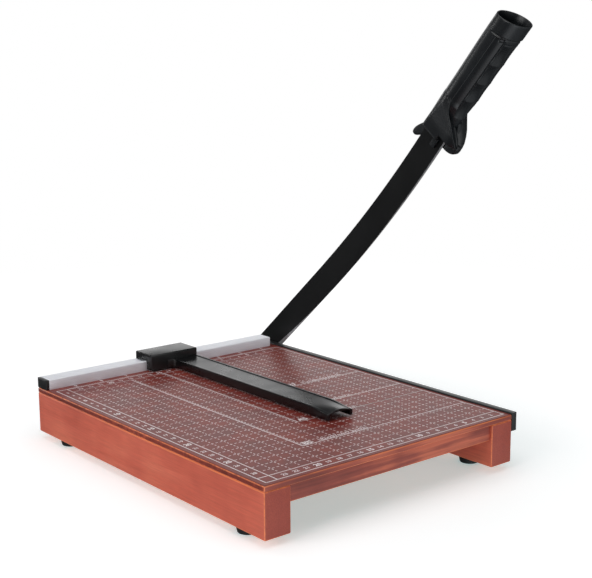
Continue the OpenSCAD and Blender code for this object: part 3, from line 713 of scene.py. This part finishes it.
SMALL_PARTS = {"frame_dowels": BEECH, "board_screws": ZINC, "foot_screws": ZINC, "fence_screws": ZINC,
               "bar_screws": BLACK_SCREW, "stop_spring": SPRING_STEEL, "tang_wedge": NYLON,
               "nut_insert": BLUE_NYLON}
for node, material in SMALL_PARTS.items():
    coat(node, material)
softened("fence", 0.35, "base", ALUMINIUM)
softened("fence_end_cap", 0.5, "base", BLACK_PLASTIC)
softened("fixed_blade", 0.4, "base", BAR_COAT)
softened("rubber_feet", 0.6, "base", RUBBER)
print("materials:", len(bpy.data.materials))

# %% [markdown]
# ## Swinging blade
# The blade is a flat bar that runs straight for 125 mm and then bends through 8.7 degrees on a radius of
# 1.28 m. Its coat is worn off along the cutting edge: a strip of bare ground steel that starts about 140 mm
# from the pivot and grows to 1.7 mm at the grip. Seen from the bend's centre the edge lies at one distance,
# so the strip is found from that distance alone.

# %% Lines of the arm
PIVOT = Vector(next(j for j in frame["joints"] if j["name"] == "arm_swing")["pos_m"])
ROOT, CURVE_A, CURVE_R, RAISE = 125 * MM, math.radians(8.7), 1279.9 * MM, math.radians(41.2)
BLADE_W = 25.2 * MM
BARE_FROM, BARE_TO, BARE_W, BARE_WAVER = 90 * MM, 225 * MM, 1.7 * MM, 0.25 * MM
BLADE_MID = (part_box("swing_blade")[0].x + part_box("swing_blade")[1].x) / 2


def arm_place(u, w, inward):
    """Points given along the blade's root, towards its back and inwards from its middle plane, all in
    metres."""
    y = PIVOT.y - u * math.cos(RAISE) + w * math.sin(RAISE)
    z = PIVOT.z + u * math.sin(RAISE) + w * math.cos(RAISE)
    return np.stack(np.broadcast_arrays(BLADE_MID - inward, y, z), -1)


def end_place(t, v, inward):
    """The same for millimetres along and across the blade's end, where it enters the grip."""
    t, v, inward = np.asarray(t) * MM, np.asarray(v) * MM, np.asarray(inward) * MM
    u = ROOT + CURVE_R * math.sin(CURVE_A) + t * math.cos(CURVE_A) - v * math.sin(CURVE_A)
    w = CURVE_R * (1 - math.cos(CURVE_A)) + t * math.sin(CURVE_A) + v * math.cos(CURVE_A)
    return arm_place(u, w, inward)


def blade_material():
    """Satin black coat, bare where the distance from the bend's centre comes within BARE_W of the cutting
    edge."""
    material = black_coat("black_coated_blade", "#050506", "#08090A", 0.34, 0.42, 0.5)
    tree = material.node_tree
    shader = next(n for n in tree.nodes if n.bl_idname == "ShaderNodeBsdfPrincipled")
    shader.inputs["Specular IOR Level"].default_value = 0.3
    centre = arm_place(ROOT, CURVE_R, 0.0)
    place = add_node(tree, "ShaderNodeTexCoord").outputs["Object"]
    vector_math = "ShaderNodeVectorMath"
    apart = add_node(tree, vector_math, {"operation": "SUBTRACT", 1: tuple(centre)}, {0: place})
    flat = add_node(tree, vector_math, {"operation": "MULTIPLY", 1: (0, 1, 1)}, {0: apart.outputs[0]})
    radius = add_node(tree, vector_math, {"operation": "LENGTH"}, {0: flat.outputs[0]}).outputs["Value"]
    height = add_node(tree, "ShaderNodeSeparateXYZ", links={0: place}).outputs["Z"]
    width = remap(tree, height, PIVOT.z + BARE_FROM, PIVOT.z + BARE_TO, 0.0, BARE_W)
    worn = remap(tree, noise(tree, place, 400, 3.0, 0.6), 0.3, 0.7, -BARE_WAVER, BARE_WAVER)
    reach = add_node(tree, "ShaderNodeMath", links={0: radius, 1: width})
    ragged = add_node(tree, "ShaderNodeMath", links={0: reach.outputs[0], 1: worn})
    edge = CURVE_R + BLADE_W / 2
    bare = remap(tree, ragged.outputs[0], edge, edge + BARE_WAVER, 0.0, 1.0)
    coat = shader.inputs["Base Color"].links[0].from_socket
    tree.links.new(mix_colour(tree, bare, coat, "#C3C4C6"), shader.inputs["Base Color"])
    tree.links.new(bare, shader.inputs["Metallic"])
    return material


BLADE = blade_material()
print("blade:", BLADE.name, "around", [round(c, 4) for c in PIVOT])

# %% [markdown]
# ## Shells
# Moulded parts are closed shells. A slab carries one outline through a thickness and insets it along its
# normals near both faces, which rounds the edges. Outlines given by a few points are smoothed by cutting
# their corners.


# %% Slab and outline helpers
def ease(x, start, end):
    """0 before start, 1 after end, 3s^2 - 2s^3 between."""
    part = np.clip((np.asarray(x, float) - start) / (end - start), 0, 1)
    return part * part * (3 - 2 * part)


def cut_corners(outline, times=3):
    """Chaikin's rule: each side keeps its middle half, so every corner becomes two softer ones."""
    outline = np.array(outline, float)
    for _ in range(times):
        after = np.roll(outline, -1, axis=0)
        outline = np.stack([0.75 * outline + 0.25 * after, 0.25 * outline + 0.75 * after], 1).reshape(-1, 2)
    return outline


def slab_rows(outline, low, high, radius, arc=5):
    """Rows (a, b, height) of a slab with rounded edges: the outline moves inwards by r(1 - sin) while it
    climbs by r(1 - cos), keeps its place along the wall, and moves in again at the top."""
    outline = np.array(outline, float)
    ahead, behind = np.roll(outline, -1, axis=0), np.roll(outline, 1, axis=0)
    along = ahead - behind
    along /= np.maximum(np.linalg.norm(along, axis=1, keepdims=True), 1e-9)
    inwards = np.stack([-along[:, 1], along[:, 0]], -1)
    area = np.sum(outline[:, 0] * ahead[:, 1] - ahead[:, 0] * outline[:, 1])
    inwards *= 1 if area > 0 else -1
    bend = np.linspace(0, math.pi / 2, arc)
    inset = np.concatenate([radius * (1 - np.sin(bend)), radius * (1 - np.cos(bend))])
    height = np.concatenate([low + radius * (1 - np.cos(bend)), high - radius * (1 - np.sin(bend))])
    flat = outline[None] + inset[:, None, None] * inwards[None]
    return np.concatenate([flat, np.broadcast_to(height[:, None, None], (*flat.shape[:2], 1))], -1)


def shells(name, parts, sharp=35):
    """One mesh from several closed grids of points, with outward faces and crisp edges above the given
    angle."""
    work = bmesh.new()
    for points in parts:
        part = grid_mesh("part", points, cap_start=True, cap_end=True)
        work.from_mesh(part)
        bpy.data.meshes.remove(part)
    bmesh.ops.remove_doubles(work, verts=work.verts, dist=1e-6)
    bmesh.ops.recalc_face_normals(work, faces=work.faces)
    mesh = bpy.data.meshes.new(name)
    work.to_mesh(mesh)
    work.free()
    mesh.polygons.foreach_set("use_smooth", [True] * len(mesh.polygons))
    mesh.set_sharp_from_angle(angle=math.radians(sharp))
    return mesh


# %% Blade
BLADE_THICK, BEVEL_W, BEVEL_FROM, BEVEL_FULL, IN_GUARD = 2.5, 4.5, 18, 23, 6


def blade_section(wide, slope):
    """Outline (v, z) of one section in millimetres, from the back edge over the inner face and the cutting
    edge to the outer face. slope grows from 0 to 1 where the bevel starts."""
    thick, bevel = BLADE_THICK, BEVEL_W * slope
    back = [(wide - 0.15, 0.0), (wide - 0.04, 0.04), (wide, 0.15), (wide, thick - 0.15),
            (wide - 0.04, thick - 0.04)]
    inner = [(v, thick) for v in np.linspace(wide - 0.15, -wide + 0.08, 9)]
    cutting = [(-wide, thick - 0.08), (-wide, 0.05 + (thick - 0.45) * slope), (-wide + 0.06 + bevel, 0.0)]
    if wide > 6:
        outer = np.linspace(-wide + 0.2 + bevel, wide - 0.3, 8)[1:-1]
    else:
        outer = np.linspace(-0.6 * wide, 0.6 * wide, 6)
    return np.array(back + inner + cutting + [(v, 0.0) for v in outer])


def blade_rows():
    """Sections of the blade in millimetres: a half circle about the pivot, the straight root, the arc, and
    6 mm more inside the guard. The bevel on the outer face starts 20 mm from the pivot."""
    half, root, curve = BLADE_W / 2 / MM, ROOT / MM, CURVE_R / MM
    end = root + curve * CURVE_A
    round_end = -half * np.cos(np.radians(np.linspace(3, 90, 24)))
    rows = []
    straight = [4, 10, 17, 19, 20, 21, 22, 24, 40, 80]
    for along in [*round_end, *straight, *np.linspace(root, end, 60), end + IN_GUARD]:
        wide = half * math.sin(math.acos(-along / half)) if along < 0 else half
        v, z = blade_section(wide, float(ease(along, BEVEL_FROM, BEVEL_FULL))).T
        bend = np.clip((along - root) / curve, 0, CURVE_A)
        past = max(along - end, 0)
        u = min(along, root) + curve * math.sin(bend) + past * math.cos(bend) - v * math.sin(bend)
        w = curve * (1 - math.cos(bend)) + past * math.sin(bend) + v * math.cos(bend)
        rows.append(arm_place(u * MM, w * MM, (z - BLADE_THICK / 2) * MM))
    return np.stack(rows)


blade_mesh = shells("swing_blade_ground", [blade_rows()], 12)
add_piece("swing_blade_ground", blade_mesh, "arm", BLADE, ("swing_blade",))
print("blade:", len(blade_mesh.polygons), "faces")

# %% [markdown]
# ## Paper stop
# One black moulding: a head that straddles the fence, and an arm down the bed. The arm's plate lies half a
# millimetre below its side walls. Over its last 30 mm the sides dip while the middle stays high, so it ends
# in a thin arch.

# %% Paper stop
STOP_LOW, STOP_HIGH = (np.array(c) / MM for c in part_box("paper_stop"))
FENCE_LOW, FENCE_HIGH = (np.array(c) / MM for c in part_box("fence"))
ARM_W, ARM_H, STOP_WALL, PLATE_DROP, PLATE_THICK, FILLET = 26.0, 7.6, 2.3, 0.5, 1.6, 6.0
ARCH_DIP, ARCH_L = 3.0, 30
HEAD_GAP, HEAD_ROUND, HEAD_AHEAD, BACK_DROP = 0.35, 1.3, 9.2, 6
HEAD_FRONT = FENCE_LOW[1] - HEAD_AHEAD
ARM_LEFT = STOP_HIGH[0] - ARM_W


def arm_rows():
    """Sections across the arm. Every height z at distance x from the middle drops by dip (x / half)^2 z /
    ARM_H."""
    wall, top, plate = STOP_WALL, ARM_H, ARM_H - PLATE_DROP
    under = plate - PLATE_THICK
    across = np.linspace(wall + 0.15, ARM_W - wall - 0.15, 15)
    left = [(0.3, 0.0), (0.09, 0.09), (0.0, 0.3), (0.0, top - 0.5), (0.06, top - 0.25), (0.22, top - 0.08),
            (0.5, top), (wall - 0.3, top), (wall - 0.08, top - 0.08), (wall, top - 0.3),
            (wall + 0.03, plate + 0.06)]
    right = [(ARM_W - x, z) for x, z in left[::-1]]
    inside = [(ARM_W - wall, 0.0)] + [(x, under) for x in across[::-1]] + [(wall, 0.0)]
    section = np.array(left + [(x, plate) for x in across] + right + inside)
    end, start = STOP_LOW[1], HEAD_FRONT + 0.5
    places = np.concatenate([end + np.array([0, 0.15, 0.4, 1, 2, 4, 7, 10, 14, 18, 22, 26, 30, 35, 60, 120]),
                             HEAD_FRONT - FILLET * np.cos(np.linspace(0, math.pi / 2, 9)), [start]])
    rows = []
    for y in places:
        dip = ARCH_DIP * (1 - ease(y - end, 0, ARCH_L)) ** 1.5
        away = (section[:, 0] - ARM_W / 2) / (ARM_W / 2)
        round_end = 0.25 * max(0.0, 1 - (y - end) / 0.4) ** 2
        height = section[:, 1]
        z = np.maximum(height - dip * away**2 * height / ARM_H - round_end * (height > under + 0.1), 0)
        near = np.clip((y - (HEAD_FRONT - FILLET)) / FILLET, 0, 1)
        widen = FILLET * (1 - math.sqrt(1 - near**2)) * np.clip(1 - section[:, 0] / wall, 0, 1)
        rows.append(np.stack([ARM_LEFT + section[:, 0] - widen, np.full(len(z), y), STOP_LOW[2] + z], -1))
    return np.stack(rows) * MM


def head_rows():
    """The head's side outline, an upside-down U over the fence, carried from its left end to its right
    end."""
    y0, y1, z0, z1 = HEAD_FRONT, STOP_HIGH[1], STOP_LOW[2], STOP_HIGH[2]
    gap, r = HEAD_GAP, HEAD_ROUND
    front, back, roof = FENCE_LOW[1] - gap, FENCE_HIGH[1] + gap, FENCE_HIGH[2] + gap
    bend = np.linspace(0, math.pi / 2, 6)
    outline = [(y0 + 0.3, z0), (y0, z0 + 0.3)]
    outline += [(y0 + r - r * math.cos(a), z1 - r + r * math.sin(a)) for a in bend]
    outline += [(y1 - r + r * math.sin(a), z1 - r + r * math.cos(a)) for a in bend]
    outline += [(y1, roof - BACK_DROP), (back, roof - BACK_DROP), (back, roof), (front, roof), (front, z0)]
    rows = slab_rows(outline, STOP_LOW[0], STOP_HIGH[0], 0.7)
    return rows[..., [2, 0, 1]] * MM


stop_mesh = shells("paper_stop_moulding", [arm_rows(), head_rows()])
STOP_PLASTIC = moulded_plastic("black_stop_plastic", "#0F0F10", "#0B0B0C", 0.28, 0.5, 0.0015)
add_piece("paper_stop_moulding", stop_mesh, "stop", STOP_PLASTIC, ("paper_stop",))
print("paper stop:", len(stop_mesh.polygons), "faces")

# %% [markdown]
# ## Grip
# The grip is two mouldings in one: a round hollow tube with finger grooves, and a guard that grips the
# blade between two flat cheeks. Along its first 44 mm the guard swells from the cheeks' 14 mm to the tube's
# 27 mm. On its front the guard is scooped out for a finger, and the scoop's two rims rise into ridges that
# run up the tube's sides.

# %% Tube of the grip
GRIP_RISE, DROOP, GRIP_L, TILT = 2.0, math.radians(2.1), 124.0, math.radians(14)
TUBE_R, COLLAR_R, COLLAR_T = 13.4, 14.3, 111.0
GROOVE_R, GROOVE_PITCH, GROOVE_DEEP, FIRST_GROOVE = 26, 18.5, 1.7, 40
RECESS, RIDGE = 0.75, 0.35
MOUTH_R, MOUTH_BOTTOM, LEAN_FROM = 11.0, 58.0, 70


def axis_place(along, v, inward):
    """Points along and across the tube's axis, which leans forward by 2.1 degrees from the blade's end."""
    t = along * math.cos(DROOP) + v * math.sin(DROOP)
    return end_place(t, GRIP_RISE - along * math.sin(DROOP) + v * math.cos(DROOP), inward)


def tube_radius(along, angle):
    """Radius over the tube. angle is 0 at the back and 180 at the front, in degrees. Grooves are arcs of
    radius GROOVE_R across the front; the side has a recess between 103 and 138 degrees, closed off by two
    thin ridges; the collar steps out by 0.9 mm except at the back, where it grows slowly."""
    front = np.minimum(angle, 360 - angle)
    apart = (along - FIRST_GROOVE + GROOVE_PITCH / 2) % GROOVE_PITCH - GROOVE_PITCH / 2
    arc_drop = GROOVE_R - np.sqrt(GROOVE_R**2 - apart**2)
    scallop = np.clip(GROOVE_DEEP - arc_drop, 0, None) * (along < 106) * (along > 31)
    radius = TUBE_R - scallop * ease(front, 136, 152)
    window = ease(along, 38, 44) * (1 - ease(along, 108.2, 109.0))
    radius -= RECESS * window * ease(front, 102, 104.5) * (1 - ease(front, 137, 139.5))
    notch = ease(along, 105.5, 107) * (1 - ease(along, 109.2, 109.8))
    radius -= 0.9 * notch * ease(front, 120, 124) * (1 - ease(front, 136, 138))
    for centre in (139.5, 143.5):
        radius += RIDGE * window * np.exp(-((front - centre) ** 2))
    step = ease(along, COLLAR_T - 0.35, COLLAR_T + 0.25)
    slow = ease(along, 40, COLLAR_T)
    side = ease(front, 60, 100)
    radius += (COLLAR_R - TUBE_R) * (side * step + (1 - side) * slow)
    radius -= 0.45 * side * np.exp(-(((along - COLLAR_T + 0.9) / 0.6) ** 2))
    return radius


def tube_rows():
    """Rings of the tube from inside the guard up to the open end, over its rounded lip and down to the
    bottom of the mouth. Near the guard each ring is squashed to the guard's thickness, and towards the end
    the rings lean by TILT."""
    columns = 288
    angle = np.arange(columns) * 360 / columns
    turn = np.radians(angle)[None, :]
    lip_along, lip_in = np.array([123.6, 123.85, GRIP_L]), np.array([0.05, 0.2, 0.5])
    along = np.concatenate([[16.0], np.linspace(17, 37, 21), np.linspace(37.6, 107.6, 118),
                            np.linspace(108, 113, 21), np.linspace(114, 123.2, 10), lip_along])[:, None]
    radius = tube_radius(along, angle[None, :])
    radius[-3:] -= lip_in[:, None]
    radius = radius * (0.8 + 0.2 * ease(along, 14, 24))
    squash = (6.9 + (TUBE_R - 6.9) * ease(along, 14, 44)) / TUBE_R
    inner_along = np.array([123.8, 122.0, 118.0, MOUTH_BOTTOM + 0.5, MOUTH_BOTTOM])[:, None]
    inner_radius = np.array([13.1, 12.4, 11.2, MOUTH_R, MOUTH_R - 0.5])[:, None] * np.ones((1, columns))
    along = np.concatenate([along, inner_along])
    squash = np.concatenate([squash, np.ones((len(inner_along), 1))])
    radius = np.concatenate([radius, inner_radius])
    v, inward = radius * np.cos(turn), radius * np.sin(turn) * squash
    lean = np.clip((along - LEAN_FROM) / (GRIP_L - LEAN_FROM), 0, 1) * math.tan(TILT)
    return axis_place(along - v * lean, v, inward)


# %% Guard of the grip, and the slabs beside it
GUARD_HALF, OUTER_BACK, CHEEK_FACE = 7.2, 0.15, -7.14


def guard_rows():
    """Sections of the guard for t along the blade's end. From the back: a quarter ellipse, the flat cheek,
    the rim that flares outwards, and across the front the scoop v = rim + depth (1 - (z / z_rim)^2) with a
    low keel along its middle. The outer side lies OUTER_BACK further in, under the cheek."""
    thick = GUARD_HALF
    t_rows = np.concatenate([[2.2, 2.35, 2.8, 4, 6, 8.15, 8.3, 8.5, 9.2, 10.5], np.linspace(12, 48, 37)])
    rim_v = np.interp(t_rows, [8.3, 8.5, 9.2, 10.5, 14, 22, 31, 36, 42, 46, 48],
                      [-24.6, -25.3, -25.9, -25.9, -24.0, -16.8, -6.6, -4.2, -2.6, -0.5, 1.0])
    rim_v = np.where(t_rows < 8.2, -6.5, rim_v)
    rim_z = np.interp(t_rows, [2, 8.3, 10.5, 14, 18, 22, 31, 42, 48],
                      [thick, 3.6, 4.6, 6.4, 8.4, 9.5, 11.4, 13.6, 12.9])
    rim_z = np.where(t_rows < 8.2, thick, rim_z)
    half = thick + 6.35 * ease(t_rows, 10, 44) - 0.6 * ease(t_rows, 40, 48)
    back_v = GRIP_RISE - t_rows * math.tan(DROOP) + TUBE_R + 0.1 - 0.55 * ease(t_rows, 40, 48)
    back_a = 4.0 + 9.2 * ease(t_rows, 8, 47)
    scoop = np.interp(t_rows, [2, 8.3, 9, 12, 20, 30, 48], [0.0, 0.0, 0.6, 3.0, 6.5, 8.0, 8.0])
    start_round = np.where(t_rows < 3, (2.8 - t_rows).clip(0) ** 2 * 1.2, 0.0)
    rows = []
    per_row = zip(t_rows, rim_v, rim_z, half, back_v, back_a, scoop, start_round)
    for t, rv, rz, h, bv, ba, deep, soft in per_row:
        h, bv = h - soft, bv - soft
        rz = rz - soft
        a = np.linspace(0, math.pi / 2, 17)
        back = np.stack([bv - ba + ba * np.cos(a), h * np.sin(a)], -1)
        cheek_v = np.linspace(bv - ba, rv + 0.5, 26)[1:]
        flare = (rz - h) * ease(-cheek_v, -(rv + 9.0), -(rv + 0.5)) ** 1.4
        cheek = np.stack([cheek_v, h + flare], -1)
        lip = np.array([[rv + 0.2, rz - 0.1], [rv + 0.03, rz - 0.35]])
        z = np.linspace(rz - 0.7, 0, 15)
        keel = 0.5 * np.exp(-((z / 0.7) ** 2)) * (deep > 1)
        front = np.stack([rv + deep * (1 - (z / (rz - 0.7)) ** 2) - keel, z], -1)
        side = np.concatenate([back, cheek, lip, front])
        other = side[1:-1][::-1] * [1, -1] + [0, OUTER_BACK * (t < 30)]
        rows.append(np.concatenate([side, other]))
    rows = np.stack(rows)
    t = np.broadcast_to(t_rows[:, None], rows.shape[:2])
    return end_place(t, rows[..., 0], rows[..., 1])


CHEEK = [(16, -17), (9, -20.5), (3.5, -20.8), (0.2, -18.6), (-1.7, -14.6), (-3.4, -10), (-5.4, -2), (-7.4, 5),
         (-9.6, 11.5), (-12.5, 15.5), (-16.6, 19.2), (-17.0, 22.6), (-15.2, 24.4), (-11.5, 24.2), (-7, 22.4),
         (-2, 19.4), (4, 16.6), (14, 14.6), (26, 14.0), (26, -10), (21, -14)]
NOSE = [(12, -25.4), (7.5, -26.1), (3, -25.0), (0.4, -21), (-0.9, -16), (-1.0, -12.9), (12, -12.9)]
LUG = rounded_rectangle(5.0, 2.75, 0.7) + np.array([-2.0, -3.75])


def grip_slab(outline, low, high, radius):
    """A slab of the grip: its outline in the plane of the blade's end, its thickness across the blade."""
    rows = slab_rows(outline, low, high, radius)
    return end_place(rows[..., 0], rows[..., 1], rows[..., 2])


# The outer cheek with its back horn lies between the blade's outer face and the guard's outer side. The
# nose is its lower end, which reaches past the cutting edge to the blade's inner side. The lug is the small
# block on the inner side that comes down on the fixed blade's end.
cheek = grip_slab(cut_corners(CHEEK), CHEEK_FACE, -1.3, 1.6)
nose = grip_slab(cut_corners(NOSE, 2), -5.0, 1.2, 1.4)
lug = grip_slab(LUG, 1.35, 3.3, 0.4)
grip_mesh = shells("grip_moulding", [tube_rows(), guard_rows(), cheek, nose, lug], 40)
GRIP_PLASTIC = moulded_plastic("black_grip_plastic", "#0E1216", "#0A0D10", 0.34, 0.7, 0.0006)
add_piece("grip_moulding", grip_mesh, "arm", GRIP_PLASTIC, ("grip",))
print("grip:", len(grip_mesh.polygons), "faces")

# %% [markdown]
# ## Pivot
# A zinc-plated bolt holds the blade against the bar, pulled tight by a spring under its lock nut. The
# spring is a wire carried round a helix, with its end turns nearly closed up.


# %% Pivot hardware
WIRE_R, SPRING_TURNS, END_TURN, END_CLIMB = 0.65 * MM, 5.5, 0.75, 0.09


def spring_rows():
    """Wire round a helix: each end turn climbs END_CLIMB of the length, and the turns between share the
    rest."""
    low, high = (np.array(c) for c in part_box("pivot_spring"))
    wire, turns = WIRE_R, SPRING_TURNS
    coil = (high[1] - low[1]) / 2 - wire
    s = np.linspace(0, 1, 240)
    angle = 2 * math.pi * turns * s
    end_s = 1 / turns * END_TURN
    climb = np.interp(s, [0, end_s, 1 - end_s, 1], [0.0, END_CLIMB, 1 - END_CLIMB, 1.0])
    x = low[0] + wire + (high[0] - low[0] - 2 * wire) * climb
    ring = np.linspace(0, 2 * math.pi, 12, endpoint=False)
    out = coil + wire * np.cos(ring)[None, :]
    y = (low[1] + high[1]) / 2 + out * np.cos(angle)[:, None]
    z = (low[2] + high[2]) / 2 + out * np.sin(angle)[:, None]
    return np.stack(np.broadcast_arrays(x[:, None] + wire * np.sin(ring)[None, :], y, z), -1)


spring_mesh = shells("pivot_spring_wire", [spring_rows()])
add_piece("pivot_spring_wire", spring_mesh, "arm", SPRING_STEEL, ("pivot_spring",))
for node, radius in (("pivot_bolt", 0.3), ("lock_nut", 0.3), ("head_washer", 0.12), ("inner_washer", 0.12),
                     ("nut_washer", 0.12)):
    softened(node, radius, "arm", ZINC, 35)
softened("tang_screws", 0.2, "arm", BLACK_SCREW, 35)
print("pivot: bolt, nut, three washers and a spring")
